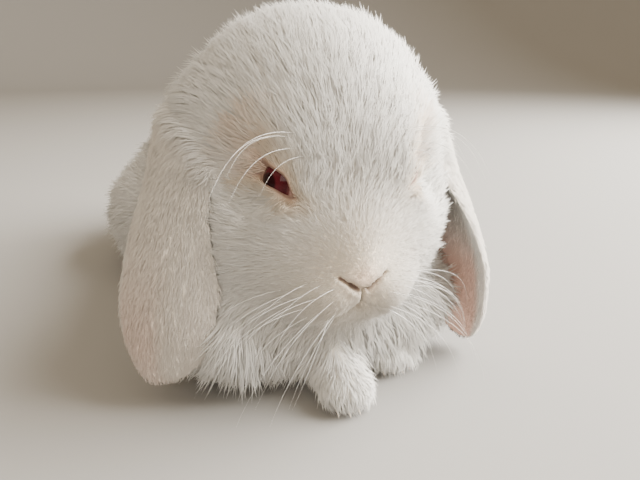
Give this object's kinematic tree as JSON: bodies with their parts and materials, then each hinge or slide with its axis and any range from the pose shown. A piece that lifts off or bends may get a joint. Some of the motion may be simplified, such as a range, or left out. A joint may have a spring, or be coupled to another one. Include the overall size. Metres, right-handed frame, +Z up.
{
  "type": "lop rabbit",
  "caption": "Still life-size model of a young lop rabbit crouching with its chin low, ears hanging beside the cheeks and soft white fur.",
  "frame": {"origin": "on the floor, under the middle of the whole animal's box", "axes": "+Z up, the rabbit faces -Y, its left side is +X"},
  "size_m": [0.1344, 0.256, 0.13],
  "materials": {
    "coat": "soft off-white fur, matte with a faint sheen",
    "ear": "short velvety fur over pink skin",
    "nose": "bare pink skin with very fine short hair",
    "eye": "wet, glossy, dark ruby"
  },
  "bodies": {
    "root": {"head": "coat", "nose": "nose", "neck": "coat", "trunk": "coat", "thigh_left": "coat", "thigh_right": "coat", "foreleg_left": "coat", "foreleg_right": "coat", "hind_foot_left": "coat", "hind_foot_right": "coat", "ear_left": "ear", "ear_right": "ear", "eye_left": "eye", "eye_right": "eye", "tail": "coat"}
  },
  "joints": []
}
